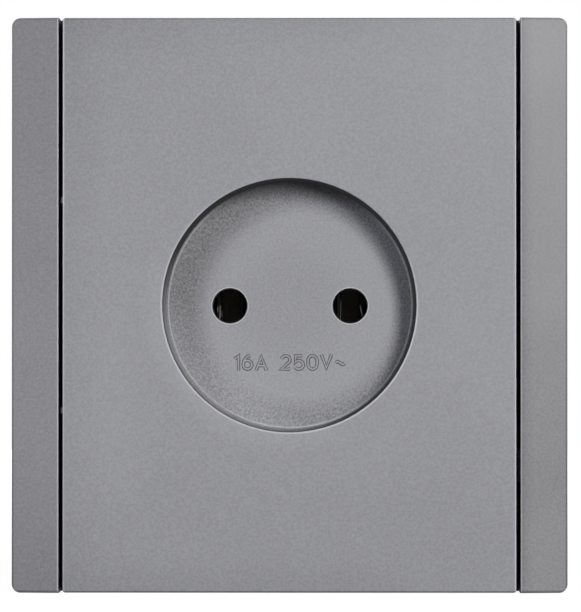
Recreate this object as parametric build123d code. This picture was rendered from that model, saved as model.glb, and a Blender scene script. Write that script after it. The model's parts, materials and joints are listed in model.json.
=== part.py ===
from build123d import *
import math
import os

# Ungrounded flush wall socket, in millimetres.
# X points right and Z up as seen from the room, and Y points into the wall. The wall surface is y = 0.
# The origin is the middle of the two box-screw slots, on the back of the mounting strap.

# Face panel and trim frame
OVERALL_W = 86.7
PANEL_H = 89.5
STRIP_OVERHANG = 0.1
STRIP_W = 7.4
GAP_W = 0.6
PANEL_STANDOFF = 10.4
PANEL_FACE_T = 2.2
PANEL_SKIRT_T = 1.6
PANEL_CORNER_R = 0.5
PANEL_EDGE_R = 0.2
PANEL_RIB_T = 1.2
PANEL_RIB_H = 2.6
STRIP_STANDOFF = 9.6
STRIP_FALL = 1.0
STRIP_WALL_T = 1.6
STRIP_CORNER_R = 1.35
STRIP_EDGE_R = 0.2
STRIP_POCKETS = 4
STRIP_RIB_T = 1.2
FRAME_PLATE_T = 2.8
WINDOW_CORNER_R = 6.0

# Nibs on the panel's left side and lugs on the right strip, which centre the panel in the frame
NIB_Z = 16.4
NIB_H = 0.9
NIB_OUT = 0.35
NIB_DEPTH = 1.6
NIB_LENGTH = 3.0
GAP_LUG_Z = 25.0
GAP_LUG_H = 5.0
GAP_LUG_OUT = 0.25
GAP_LUG_RISE = 2.4

# Plug well and pins
WELL_D = 39.6
WELL_DEPTH = 11.0
WELL_DRAFT = 1.5
WELL_RIM_R = 0.12
WELL_FLOOR_CHAMFER = 0.3
CUP_WALL_T = 1.6
CUP_FLOOR_T = 1.8
PIN_SPACING = 19.0
PIN_LENGTH = 19.0
PIN_HOLE_D = 5.4

# Mounting strap
STRAP_INSET = 0.45
STRAP_T = 1.2
STRAP_CORNER_R = 4.0
STRAP_PLAY = 0.3
STRAP_BEAD_L = 15.0
STRAP_BEAD_W = 3.0
STRAP_BEAD_H = 0.5
STRAP_BEAD_X = 18.5
CUP_PLAY = 0.45
BOX_SCREW_SPACING = 60.0
BOX_SLOT_W = 4.2
BOX_SLOT_L = 8.0
STRAP_WEB = 1.2

# Snap hooks of the panel, which catch behind the strap
HOOK_T = 1.4
HOOK_W = 6.0
HOOK_Z = 12.5
HOOK_CATCH = 0.6
HOOK_BARB_L = 1.8
HOOK_PLAY = 0.1
HOOK_SIDE_PLAY = 0.4

# Contact base and rear cover
FLOOR_GAP = 0.4
BASE_H = 37.0
BASE_CORNER_R = 3.0
BASE_FRONT_WALL = 1.6
BASE_SIDE_WALL = 4.5
EAR_R = 3.6
EAR_T = 6.0
EAR_OFFSET = 4.6
EAR_PLAY = 0.4
BASE_CHAMFER = 0.8
PIN_TIP_ROOM = 1.0
CHAMBER_PLAY = 0.5
POCKET_PLAY = 0.5
RELIEF_DEPTH = 14.0
RELIEF_WALL = 2.0
RELIEF_RIB_T = 1.2
COVER_T = 2.0
COVER_MARGIN = 1.6
COVER_CORNER_R = 1.5
COVER_PLAY = 0.2
COVER_RIB_T = 1.2
COVER_SCREW_R = 1.4
COVER_SCREW_L = 9.0
COVER_HEAD_R = 2.6
COVER_HEAD_H = 1.5

# Contacts and terminals
CONTACT_T = 0.5
LEAF_H = 7.0
LEAF_GRIP = 2.8
LEAF_FLARE = 3.2
LEAF_ROOT = 6.2
LEAF_FRONT_GAP = 0.6
LEAF_GRIP_DEPTH = 3.2
LEAF_BEND_R = 1.0
BRIDGE_L = 4.0
TONGUE_W = 6.0
TERMINAL_Z = 14.0
TERMINAL_SCREW_R = 1.75
TERMINAL_SCREW_L = 8.0
TERMINAL_HEAD_R = 3.1
TERMINAL_HEAD_H = 1.8
TERMINAL_SUNK = 0.8
CLAMP_W = 7.0
CLAMP_T = 1.0
CLAMP_CORNER_R = 0.6

# Rivets that join base and strap
RIVET_R = 1.5
RIVET_HEAD_R = 2.5
RIVET_HEAD_H = 0.8

# Spreading claws, with their pins and screws
CLAW_W = 11.2
CLAW_T = 1.2
CLAW_LEAN = 26.0
CLAW_SWING = 24.0
CLAW_ARM_END = 1.0
CLAW_BLADE_L = 18.0
CLAW_TIP_L = 4.0
CLAW_TIP_OUT = 1.6
CLAW_TEETH = 4
CLAW_TOOTH_H = 1.5
CLAW_WINDOW_START = 4.0
CLAW_SIDE_PLAY = 0.3
BARREL_R = 1.8
PIVOT_Y = 3.4
PIN_R = 0.9
PIN_HEAD_R = 1.4
PIN_HEAD_H = 0.5
LUG_HALF_W = 1.9
CLAW_SCREW_ARM = 4.5
CLAW_SCREW_R = 1.5
CLAW_SCREW_L = 16.0
CLAW_HEAD_R = 2.8
CLAW_HEAD_H = 2.0

# Screws and fits
DRIVE_SLOT_W = 0.8
DRIVE_SLOT_DEPTH = 0.9
HEAD_CHAMFER = 0.35
TURNING_PLAY = 0.1
FIXED_PLAY = 0.05
SCREW_PLAY = 0.25
HEAD_PLAY = 0.8

# Places that follow from the sizes above
STRIP_INNER_X = OVERALL_W / 2 - STRIP_W
STRIP_H = PANEL_H + 2 * STRIP_OVERHANG
PANEL_W = 2 * (STRIP_INNER_X - GAP_W)
STRAP_W = 2 * (STRIP_INNER_X - STRAP_INSET)
FRONT_Y = -PANEL_STANDOFF
FACE_BACK_Y = FRONT_Y + PANEL_FACE_T
PLATE_FRONT_Y = -FRAME_PLATE_T
FLOOR_Y = FRONT_Y + WELL_DEPTH
FLOOR_BACK_Y = FLOOR_Y + CUP_FLOOR_T
WELL_R = WELL_D / 2
WELL_FLOOR_RADIUS = WELL_R - WELL_DEPTH * math.tan(math.radians(WELL_DRAFT))
CUP_R = WELL_R + CUP_WALL_T
PIN_X = PIN_SPACING / 2
PIN_HOLE_R = PIN_HOLE_D / 2
STRAP_HOLE_R = CUP_R + CUP_PLAY
BASE_FRONT_Y = FLOOR_BACK_Y + FLOOR_GAP
CHAMBER_Y = BASE_FRONT_Y + BASE_FRONT_WALL
TONGUE_Y = FLOOR_Y + PIN_LENGTH + PIN_TIP_ROOM
TONGUE_BACK_Y = TONGUE_Y + CONTACT_T
CLAMP_BACK_Y = TONGUE_BACK_Y + CLAMP_T
BASE_BACK_Y = CLAMP_BACK_Y + TERMINAL_HEAD_H + TERMINAL_SUNK
COVER_FRONT_Y = BASE_BACK_Y - COVER_T
CHAMBER_HALF_W = LEAF_ROOT / 2 + CONTACT_T + CHAMBER_PLAY
CHAMBER_BOTTOM_Z = -LEAF_H / 2 - CHAMBER_PLAY
CHAMBER_TOP_Z = LEAF_H / 2 + CONTACT_T + CHAMBER_PLAY
BASE_W = 2 * (PIN_X + CHAMBER_HALF_W + BASE_SIDE_WALL)
POCKET_HALF_W = CLAMP_W / 2 + POCKET_PLAY
POCKET_Z = TERMINAL_Z - POCKET_HALF_W
COVER_W = 2 * (PIN_X + CHAMBER_HALF_W + COVER_MARGIN)
COVER_TOP_Z = POCKET_Z - COVER_MARGIN
COVER_BOTTOM_Z = CHAMBER_BOTTOM_Z - COVER_MARGIN
EAR_POLAR_R = STRAP_HOLE_R + EAR_OFFSET
EAR_Z = BASE_H / 2 + RIVET_HEAD_R + EAR_PLAY
EAR_X = math.sqrt(EAR_POLAR_R**2 - EAR_Z**2)
HOOK_X = STRAP_HOLE_R + STRAP_WEB + HOOK_SIDE_PLAY
PIVOT_X = STRAP_HOLE_R + STRAP_WEB + LUG_HALF_W
LUG_Z = CLAW_W / 2 + CLAW_SIDE_PLAY
CLAW_SCREW_X = PIVOT_X + CLAW_SCREW_ARM
WINDOW_W = 2 * (CLAW_SCREW_X + CLAW_HEAD_R + HEAD_PLAY)
STRAP_RECESS_T = STRAP_T + STRAP_PLAY / 2

SIDES = ("left", "right")
ENDS = ("lower", "upper")


def block(x, y, z):
    """Box between pairs of limits along X, Y and Z."""
    middle = [(low + high) / 2 for low, high in (x, y, z)]
    size = [high - low for low, high in (x, y, z)]
    return Pos(*middle) * Box(*size)


def slab(outline, y_front, y_back):
    """Outline drawn in X and Z as seen from the room, with thickness along Y."""
    return extrude(Plane.XZ.offset(-y_back) * outline, amount=y_back - y_front)


def rod(x, z, radius, y_front, y_back):
    """Round bar along Y."""
    return slab(Pos(x, z) * Circle(radius), y_front, y_back)


def bar(x, y, radius, z_low, z_high):
    """Round bar along Z."""
    return extrude(Pos(x, y, z_low) * Circle(radius), amount=z_high - z_low)


def section(points, z_low, z_high):
    """Prism along Z from an outline in X and Y."""
    face = make_face(Polyline(*points, close=True))
    return extrude(Pos(0, 0, z_low) * face, amount=z_high - z_low)


def ring_edges(solid, radius, y):
    """Circular edges of this radius at this depth."""
    near = 0.01
    circles = solid.edges().filter_by(GeomType.CIRCLE)
    return [e for e in circles if abs(e.radius - radius) < near and abs(e.arc_center.Y - y) < near]


def on_side(shape, side):
    """Shape drawn for the right-hand side, mirrored for the left."""
    return shape if side == "right" else mirror(shape, about=Plane.YZ)


def both_sides(shape):
    """Shape drawn on the right, with its mirror image on the left."""
    return shape + mirror(shape, about=Plane.YZ)


def four_corners(shape):
    """Shape drawn at upper right, repeated at the four mirrored places."""
    pair = both_sides(shape)
    return pair + mirror(pair, about=Plane.XY)


def screw(x, z, y_seat, shank_r, shank_l, head_r, head_h, facing):
    """Slotted screw whose head rests at y_seat and faces the room (-1) or the back (1)."""
    head = rod(0, 0, head_r, 0, head_h)
    head = chamfer(ring_edges(head, head_r, head_h), HEAD_CHAMFER)
    slot_y = (head_h - DRIVE_SLOT_DEPTH, head_h)
    head -= block((-head_r, head_r), slot_y, (-DRIVE_SLOT_W / 2, DRIVE_SLOT_W / 2))
    whole = head + rod(0, 0, shank_r, -shank_l, 0)
    turn = 180 if facing < 0 else 0
    return Pos(x, y_seat, z) * Rot(0, 0, turn) * whole


def cup_and_ribs():
    """Outside of the plug cup, and the ribs that tie it to the skirt."""
    cup = rod(0, 0, CUP_R, FRONT_Y + PANEL_EDGE_R, FLOOR_BACK_Y)
    rib_y = (FACE_BACK_Y - PANEL_FACE_T / 2, FACE_BACK_Y + PANEL_RIB_H)
    half_rib = PANEL_RIB_T / 2
    reach_x, reach_z = (PANEL_W - PANEL_SKIRT_T) / 2, (PANEL_H - PANEL_SKIRT_T) / 2
    cup += block((-reach_x, reach_x), rib_y, (-half_rib, half_rib))
    for x in (-PIN_X, PIN_X):
        cup += block((x - half_rib, x + half_rib), rib_y, (-reach_z, reach_z))
    return cup


def plug_well():
    """Space of the plug well, with its draft and the broken edge at its floor."""
    mouth = Plane((0, FRONT_Y, 0), x_dir=(1, 0, 0), z_dir=(0, 1, 0))
    well = mouth * Cone(
        WELL_R, WELL_FLOOR_RADIUS, WELL_DEPTH, align=(Align.CENTER, Align.CENTER, Align.MIN)
    )
    return chamfer(ring_edges(well, WELL_FLOOR_RADIUS, FLOOR_Y), WELL_FLOOR_CHAMFER)


def snap_hook():
    """Upper right snap hook, with its barb outward behind the strap."""
    catch_y = HOOK_PLAY
    outer_x = HOOK_X + HOOK_T
    barb_x = outer_x + HOOK_SIDE_PLAY + HOOK_CATCH
    tip_y = catch_y + HOOK_BARB_L
    points = [
        (HOOK_X, FACE_BACK_Y - PANEL_FACE_T / 2),
        (outer_x, FACE_BACK_Y - PANEL_FACE_T / 2),
        (outer_x, catch_y),
        (barb_x, catch_y),
        (outer_x, tip_y),
        (HOOK_X, tip_y),
    ]
    return section(points, HOOK_Z - HOOK_W / 2, HOOK_Z + HOOK_W / 2)


def face_panel():
    """One moulding: front, skirt, plug cup, ribs, snap hooks and nibs."""
    outline = RectangleRounded(PANEL_W, PANEL_H, PANEL_CORNER_R)
    panel = slab(outline, FRONT_Y, PLATE_FRONT_Y)
    panel = fillet(panel.faces().sort_by(Axis.Y)[0].edges(), PANEL_EDGE_R)
    inside = Rectangle(PANEL_W - 2 * PANEL_SKIRT_T, PANEL_H - 2 * PANEL_SKIRT_T)
    panel -= slab(inside, FACE_BACK_Y, PLATE_FRONT_Y)
    panel += cup_and_ribs()
    panel -= plug_well()
    panel = fillet(ring_edges(panel, WELL_R, FRONT_Y), WELL_RIM_R)
    for x in (-PIN_X, PIN_X):
        panel -= rod(x, 0, PIN_HOLE_R, FLOOR_Y, FLOOR_BACK_Y)
    panel += four_corners(snap_hook())
    nib_y = (FRONT_Y + NIB_DEPTH, FRONT_Y + NIB_DEPTH + NIB_LENGTH)
    nib_x = (-PANEL_W / 2 - NIB_OUT, -(PANEL_W - PANEL_SKIRT_T) / 2)
    for z in (-NIB_Z, NIB_Z):
        panel += block(nib_x, nib_y, (z - NIB_H / 2, z + NIB_H / 2))
    return panel


def trim_strip():
    """Right-hand strip of the frame: a sloping front on hollow walls with cross ribs."""
    outer_x, outer_y = OVERALL_W / 2, STRIP_FALL - STRIP_STANDOFF
    points = [
        (STRIP_INNER_X, 0),
        (outer_x, 0),
        (outer_x, outer_y),
        (STRIP_INNER_X, -STRIP_STANDOFF),
    ]
    strip = section(points, -STRIP_H / 2, STRIP_H / 2)
    strip = fillet(strip.edges().filter_by(Axis.Y).group_by(Axis.X)[-1], STRIP_CORNER_R)
    strip = fillet(strip.faces().sort_by(Axis.Y)[0].edges(), STRIP_EDGE_R)
    pocket_x = (STRIP_INNER_X + STRIP_WALL_T, outer_x - STRIP_WALL_T)
    inner_h = STRIP_H - 2 * STRIP_WALL_T
    pitch = (inner_h + STRIP_RIB_T) / STRIP_POCKETS
    for i in range(STRIP_POCKETS):
        low = -inner_h / 2 + i * pitch
        strip -= block(pocket_x, (outer_y + STRIP_WALL_T, 0), (low, low + pitch - STRIP_RIB_T))
    return strip


def trim_frame():
    """One moulding: the back plate with its window, the two strips and the right strip's lugs."""
    frame = slab(Rectangle(2 * (STRIP_INNER_X + STRIP_WALL_T), STRIP_H), PLATE_FRONT_Y, 0)
    frame -= slab(RectangleRounded(WINDOW_W, WINDOW_W, WINDOW_CORNER_R), PLATE_FRONT_Y, 0)
    recess_w = STRAP_W + 2 * STRAP_PLAY
    frame -= slab(RectangleRounded(recess_w, recess_w, STRAP_CORNER_R), -STRAP_RECESS_T, 0)
    frame += both_sides(trim_strip())
    lug_x = (STRIP_INNER_X - GAP_LUG_OUT, STRIP_INNER_X + STRIP_WALL_T)
    for z in (-GAP_LUG_Z, GAP_LUG_Z):
        lug_z = (z - GAP_LUG_H / 2, z + GAP_LUG_H / 2)
        frame += block(lug_x, (PLATE_FRONT_Y - GAP_LUG_RISE, PLATE_FRONT_Y), lug_z)
    return frame


def strap_lug():
    """Upper right lug folded back from the strap, with the hole for a claw pin."""
    low, high = LUG_Z, LUG_Z + STRAP_T
    lug = block((PIVOT_X - LUG_HALF_W, PIVOT_X + LUG_HALF_W), (-STRAP_T, PIVOT_Y), (low, high))
    lug += bar(PIVOT_X, PIVOT_Y, LUG_HALF_W, low, high)
    return lug - bar(PIVOT_X, PIVOT_Y, PIN_R + FIXED_PLAY, low, high)


def strap_bead(y_front, y_back):
    """Upper right stiffening bead, level with the box screws, between two depths."""
    outline = Pos(STRAP_BEAD_X, BOX_SCREW_SPACING / 2) * SlotOverall(STRAP_BEAD_L, STRAP_BEAD_W)
    return slab(outline, y_front, y_back)


def mounting_strap():
    """Punched and folded steel plate that everything hangs on."""
    strap = slab(RectangleRounded(STRAP_W, STRAP_W, STRAP_CORNER_R), -STRAP_T, 0)
    strap += four_corners(strap_bead(-STRAP_T - STRAP_BEAD_H, -STRAP_T))
    strap -= four_corners(strap_bead(-STRAP_BEAD_H, 0))
    strap -= rod(0, 0, STRAP_HOLE_R, -STRAP_T, 0)
    for z in (-BOX_SCREW_SPACING / 2, BOX_SCREW_SPACING / 2):
        slot = Pos(0, z) * SlotOverall(BOX_SLOT_L, BOX_SLOT_W, rotation=90)
        strap -= slab(slot, -STRAP_T, 0)
    window_x = (PIVOT_X - LUG_HALF_W, PIVOT_X + LUG_HALF_W)
    strap -= both_sides(block(window_x, (-STRAP_T, 0), (-LUG_Z, LUG_Z)))
    strap -= both_sides(rod(CLAW_SCREW_X, 0, CLAW_SCREW_R + SCREW_PLAY, -STRAP_T, 0))
    hook_x = (HOOK_X - HOOK_SIDE_PLAY, HOOK_X + HOOK_T + HOOK_SIDE_PLAY)
    hook_half = HOOK_W / 2 + HOOK_SIDE_PLAY
    strap -= four_corners(block(hook_x, (-STRAP_T, 0), (HOOK_Z - hook_half, HOOK_Z + hook_half)))
    strap -= four_corners(rod(EAR_X, EAR_Z, RIVET_R + FIXED_PLAY, -STRAP_T, 0))
    return strap + four_corners(strap_lug())


def base_ear():
    """Upper right ear of the base, with a pillar that meets the back of the strap."""
    arm_z = (BASE_H / 2 - BASE_CORNER_R, EAR_Z)
    ear = block((EAR_X - EAR_R, EAR_X + EAR_R), (BASE_FRONT_Y, EAR_T), arm_z)
    ear += rod(EAR_X, EAR_Z, EAR_R, 0, EAR_T)
    return ear - rod(EAR_X, EAR_Z, RIVET_R + FIXED_PLAY, 0, EAR_T)


def base_pole():
    """Right-hand pole's spaces in the base: chamber, tongue channel, terminal and relief pockets."""
    half_tongue = TONGUE_W / 2 + CHAMBER_PLAY
    chamber_x = (PIN_X - CHAMBER_HALF_W, PIN_X + CHAMBER_HALF_W)
    pocket_x = (PIN_X - POCKET_HALF_W, PIN_X + POCKET_HALF_W)
    spaces = block(chamber_x, (CHAMBER_Y, BASE_BACK_Y), (CHAMBER_BOTTOM_Z, CHAMBER_TOP_Z))
    spaces += block((PIN_X - half_tongue, PIN_X + half_tongue), (TONGUE_Y, BASE_BACK_Y), (0, TERMINAL_Z))
    spaces += block(pocket_x, (TONGUE_Y, BASE_BACK_Y), (POCKET_Z, BASE_H / 2))
    tip_y = TONGUE_BACK_Y + CLAMP_T - TERMINAL_SCREW_L - PIN_TIP_ROOM
    spaces += rod(PIN_X, TERMINAL_Z, TERMINAL_SCREW_R + POCKET_PLAY, tip_y, TONGUE_Y)
    spaces += rod(PIN_X, 0, PIN_HOLE_R, BASE_FRONT_Y, CHAMBER_Y)
    low_z = (RELIEF_WALL - BASE_H / 2, COVER_BOTTOM_Z - RELIEF_WALL)
    high_z = (CHAMBER_TOP_Z + RELIEF_WALL, BASE_H / 2 - RELIEF_WALL)
    for cell_x in ((pocket_x[0], PIN_X - RELIEF_RIB_T / 2), (PIN_X + RELIEF_RIB_T / 2, pocket_x[1])):
        spaces += block(cell_x, (BASE_BACK_Y - RELIEF_DEPTH, BASE_BACK_Y), low_z)
        spaces += block(cell_x, (BASE_FRONT_Y, tip_y - RELIEF_WALL), high_z)
    return spaces


def cover_outline(play):
    """Outline of the rear cover, widened by a play all round."""
    height = COVER_TOP_Z - COVER_BOTTOM_Z
    middle = (COVER_TOP_Z + COVER_BOTTOM_Z) / 2
    return Pos(0, middle) * RectangleRounded(COVER_W + 2 * play, height + 2 * play, COVER_CORNER_R)


def contact_base():
    """Insulating moulding that holds the contacts and is riveted to the strap."""
    base = slab(RectangleRounded(BASE_W, BASE_H, BASE_CORNER_R), BASE_FRONT_Y, BASE_BACK_Y)
    base = chamfer(base.faces().sort_by(Axis.Y)[-1].edges(), BASE_CHAMFER)
    base += four_corners(base_ear())
    base -= both_sides(base_pole())
    base -= slab(cover_outline(COVER_PLAY), COVER_FRONT_Y, BASE_BACK_Y)
    pilot_y = BASE_BACK_Y - COVER_SCREW_L - PIN_TIP_ROOM
    return base - rod(0, 0, COVER_SCREW_R + FIXED_PLAY, pilot_y, BASE_BACK_Y)


def rear_cover():
    """Plate that closes the contact chambers, with ribs that hold the contacts down."""
    cover = slab(cover_outline(0), COVER_FRONT_Y, BASE_BACK_Y)
    half_h, root = LEAF_H / 2, (LEAF_ROOT + CONTACT_T) / 2
    for x in (PIN_X - root, PIN_X + root):
        rib_x = (x - COVER_RIB_T / 2, x + COVER_RIB_T / 2)
        cover += both_sides(block(rib_x, (TONGUE_BACK_Y, COVER_FRONT_Y), (-half_h, half_h)))
    return cover - rod(0, 0, COVER_SCREW_R + SCREW_PLAY, COVER_FRONT_Y, BASE_BACK_Y)


def contact_leaf():
    """Outer spring leaf of the right-hand contact, from its flared tip to its root."""
    half_t, half_h = CONTACT_T / 2, LEAF_H / 2
    front_y = CHAMBER_Y + LEAF_FRONT_GAP
    root_y = TONGUE_Y - BRIDGE_L
    flare, grip, root = (PIN_X + (gap + CONTACT_T) / 2 for gap in (LEAF_FLARE, LEAF_GRIP, LEAF_ROOT))
    points = [(flare, front_y), (grip, front_y + LEAF_GRIP_DEPTH), (root, root_y), (root, TONGUE_Y)]
    strip = FilletPolyline(*points, radius=LEAF_BEND_R).offset_2d(half_t, kind=Kind.ARC)
    leaf = extrude(Pos(0, 0, -half_h) * make_face(strip), amount=LEAF_H)
    root_x = (root - half_t, root + half_t)
    return leaf + block(root_x, (root_y, TONGUE_BACK_Y), (-half_h, half_h + CONTACT_T))


def contact():
    """Right-hand contact: two spring leaves under a bridge, and the terminal tongue."""
    half_w, half_h = TONGUE_W / 2, LEAF_H / 2
    bridge_x = (PIN_X - LEAF_ROOT / 2, PIN_X + LEAF_ROOT / 2)
    whole = block(bridge_x, (TONGUE_Y - BRIDGE_L, TONGUE_BACK_Y), (half_h, half_h + CONTACT_T))
    whole += contact_leaf() + mirror(contact_leaf(), about=Plane.YZ.offset(PIN_X))
    tongue_x = (PIN_X - half_w, PIN_X + half_w)
    whole += block(tongue_x, (TONGUE_Y, TONGUE_BACK_Y), (half_h, TERMINAL_Z + half_w))
    return whole - rod(PIN_X, TERMINAL_Z, TERMINAL_SCREW_R + FIXED_PLAY, TONGUE_Y, TONGUE_BACK_Y)


def clamp_plate():
    """Right-hand square plate that holds a wire against the tongue."""
    outline = RectangleRounded(CLAMP_W, CLAMP_W, CLAMP_CORNER_R) - Circle(TERMINAL_SCREW_R + FIXED_PLAY)
    return slab(Pos(PIN_X, TERMINAL_Z) * outline, TONGUE_BACK_Y, CLAMP_BACK_Y)


def terminal_screw():
    """Right-hand terminal screw, with its head to the back."""
    return screw(
        PIN_X, TERMINAL_Z, CLAMP_BACK_Y, TERMINAL_SCREW_R, TERMINAL_SCREW_L, TERMINAL_HEAD_R, TERMINAL_HEAD_H, 1
    )


def base_rivet():
    """Upper right rivet, headed at both ends."""
    front_head = rod(EAR_X, EAR_Z, RIVET_HEAD_R, -STRAP_T - RIVET_HEAD_H, -STRAP_T)
    front_head = chamfer(ring_edges(front_head, RIVET_HEAD_R, -STRAP_T - RIVET_HEAD_H), HEAD_CHAMFER)
    back_head = rod(EAR_X, EAR_Z, RIVET_HEAD_R, EAR_T, EAR_T + RIVET_HEAD_H)
    back_head = chamfer(ring_edges(back_head, RIVET_HEAD_R, EAR_T + RIVET_HEAD_H), HEAD_CHAMFER)
    return front_head + rod(EAR_X, EAR_Z, RIVET_R, -STRAP_T, EAR_T) + back_head


def claw_slot():
    """Slot in the claw's arm that clears the claw screw over the whole swing."""
    reach = [CLAW_SCREW_ARM / math.cos(math.radians(a)) for a in (CLAW_LEAN - CLAW_SWING, CLAW_LEAN)]
    spread = CLAW_SCREW_R / math.cos(math.radians(CLAW_LEAN))
    tilt = CLAW_T / 2 * math.tan(math.radians(CLAW_LEAN))
    return reach[0] - spread - tilt - SCREW_PLAY, reach[1] + spread + tilt + SCREW_PLAY


def claw():
    """Right-hand claw at rest: rolled barrel, slotted arm and toothed blade."""
    slot_start, slot_end = claw_slot()
    arm_l = slot_end + CLAW_ARM_END
    half_w, half_t = CLAW_W / 2, CLAW_T / 2
    arm = block((0, arm_l), (-half_t, half_t), (-half_w, half_w))
    slot = Pos((slot_start + slot_end) / 2, 0) * SlotOverall(
        slot_end - slot_start, 2 * (CLAW_SCREW_R + SCREW_PLAY)
    )
    arm -= slab(slot, -half_t, half_t)
    back, front = -BARREL_R, CLAW_T - BARREL_R
    bend_y = CLAW_BLADE_L - CLAW_TIP_L
    points = [
        (front, 0),
        (front, bend_y),
        (front + CLAW_TIP_OUT, CLAW_BLADE_L),
        (back + CLAW_TIP_OUT, CLAW_BLADE_L),
        (back, bend_y),
        (back, 0),
    ]
    blade = section(points, -half_w, half_w)
    window_z = CLAW_SCREW_R + 2 * SCREW_PLAY
    blade -= block((back, front), (CLAW_WINDOW_START, bend_y), (-window_z, window_z))
    pitch = CLAW_W / CLAW_TEETH
    valley = Polyline((0, -CLAW_TOOTH_H), (pitch / 2, 0), (-pitch / 2, 0), close=True)
    cut = extrude(Plane.YZ.offset(back) * Rot(0, 0, -90) * make_face(valley), amount=CLAW_T + CLAW_TIP_OUT)
    for i in range(CLAW_TEETH - 1):
        blade -= Pos(0, CLAW_BLADE_L, (i + 1) * pitch - half_w) * cut
    whole = bar(0, 0, BARREL_R, -half_w, half_w) + Rot(0, 0, CLAW_LEAN) * arm + blade
    whole -= bar(0, 0, PIN_R + TURNING_PLAY, -half_w, half_w)
    return Pos(PIVOT_X, PIVOT_Y, 0) * whole


def claw_pin():
    """Right-hand hinge pin, peened outside the lugs."""
    end = LUG_Z + STRAP_T
    pin = bar(PIVOT_X, PIVOT_Y, PIN_R, -end, end)
    for low in (-end - PIN_HEAD_H, end):
        pin += bar(PIVOT_X, PIVOT_Y, PIN_HEAD_R, low, low + PIN_HEAD_H)
    return pin


def claw_screw():
    """Right-hand claw screw, with its head on the front of the strap."""
    return screw(CLAW_SCREW_X, 0, -STRAP_T, CLAW_SCREW_R, CLAW_SCREW_L, CLAW_HEAD_R, CLAW_HEAD_H, -1)


def rear_cover_screw():
    """Screw in the middle of the rear cover."""
    return screw(0, 0, BASE_BACK_Y, COVER_SCREW_R, COVER_SCREW_L, COVER_HEAD_R, COVER_HEAD_H, 1)


def all_nodes():
    """Every piece by the name of its node."""
    nodes = {
        "face_panel": face_panel(),
        "trim_frame": trim_frame(),
        "mounting_strap": mounting_strap(),
        "contact_base": contact_base(),
        "rear_cover": rear_cover(),
        "rear_cover_screw": rear_cover_screw(),
    }
    paired = {
        "contact": contact,
        "clamp_plate": clamp_plate,
        "terminal_screw": terminal_screw,
        "claw": claw,
        "claw_pin": claw_pin,
        "claw_screw": claw_screw,
    }
    for name, make in paired.items():
        for side in SIDES:
            nodes[f"{name}_{side}"] = on_side(make(), side)
    for end in ENDS:
        for side in SIDES:
            rivet = on_side(base_rivet(), side)
            nodes[f"base_rivet_{end}_{side}"] = rivet if end == "upper" else mirror(rivet, about=Plane.XY)
    return nodes


os.makedirs("parts", exist_ok=True)
for node, shape in all_nodes().items():
    export_step(shape, os.path.join("parts", f"{node}.step"))
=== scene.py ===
import json
import math

import bmesh
import bpy
from mathutils import Matrix, Vector

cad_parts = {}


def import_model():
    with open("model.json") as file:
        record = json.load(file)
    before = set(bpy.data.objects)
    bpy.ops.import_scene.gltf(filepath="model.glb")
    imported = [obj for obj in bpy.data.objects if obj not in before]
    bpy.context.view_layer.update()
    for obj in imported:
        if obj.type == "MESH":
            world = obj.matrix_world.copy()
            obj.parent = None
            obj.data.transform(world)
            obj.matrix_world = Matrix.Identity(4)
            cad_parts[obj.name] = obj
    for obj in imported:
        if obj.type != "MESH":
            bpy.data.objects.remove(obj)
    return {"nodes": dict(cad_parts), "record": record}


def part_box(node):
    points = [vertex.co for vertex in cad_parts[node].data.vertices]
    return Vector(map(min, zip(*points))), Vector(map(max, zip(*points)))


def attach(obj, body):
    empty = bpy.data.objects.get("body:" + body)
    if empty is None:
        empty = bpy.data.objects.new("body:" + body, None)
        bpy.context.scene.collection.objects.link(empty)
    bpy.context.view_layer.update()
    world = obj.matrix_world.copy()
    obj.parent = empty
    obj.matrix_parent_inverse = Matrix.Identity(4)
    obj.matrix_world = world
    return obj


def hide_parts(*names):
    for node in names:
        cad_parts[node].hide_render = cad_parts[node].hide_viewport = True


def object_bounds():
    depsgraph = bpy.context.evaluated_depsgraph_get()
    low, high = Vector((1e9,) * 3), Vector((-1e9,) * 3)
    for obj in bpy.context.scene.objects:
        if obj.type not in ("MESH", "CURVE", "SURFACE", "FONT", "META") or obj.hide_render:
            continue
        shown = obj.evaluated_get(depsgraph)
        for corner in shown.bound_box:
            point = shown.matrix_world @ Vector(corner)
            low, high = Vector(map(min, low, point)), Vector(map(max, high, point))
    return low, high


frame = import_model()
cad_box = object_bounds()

# Sizes are in metres, in the frame of the model: X right, Y into the wall, Z up.
MM = 0.001

# Camera, a long lens a little right of and below the middle of the face
CAMERA_DISTANCE = 0.710
CAMERA_RIGHT = 0.007
CAMERA_BELOW = 0.007
PICTURE_H = 0.09524
AIM_RIGHT = 0.00018
AIM_BELOW = 0.00014
SENSOR = 36.0

# Lights: place, width and height, power, colour
WHITE = (1.0, 1.0, 1.0)
SIDE_LIGHT = ((0.40, 0.40), 0.7, WHITE)
LIGHTS = {
    "key": ((0.180, -0.61, 0.108), (0.10, 0.19), 2.55, (1.0, 1.0, 0.985)),
    "left_fill": ((-0.56, -1.00, 0.26), (0.30, 0.30), 3.30, (0.88, 0.90, 1.0)),
    "back_light": ((-0.35, 0.90, 0.10), (0.60, 0.60), 5.0, WHITE),
    # These three stand behind the face, so they reach its sides but not its front
    "top_light": ((0.0, 0.10, 0.90), *SIDE_LIGHT),
    "right_light": ((0.90, 0.10, 0.20), *SIDE_LIGHT),
    "left_light": ((-0.90, 0.10, 0.20), *SIDE_LIGHT),
}

# Surround and floor
AMBIENT = (0.95, 0.97, 1.0)
AMBIENT_STRENGTH = 0.005
FLOOR_REACH = 3.0
FLOOR_COLOUR = (0.30, 0.30, 0.30)
FLOOR_GLOW = 0.905
FLOOR_GLOW_SPAN = (0.10, 0.45)

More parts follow.
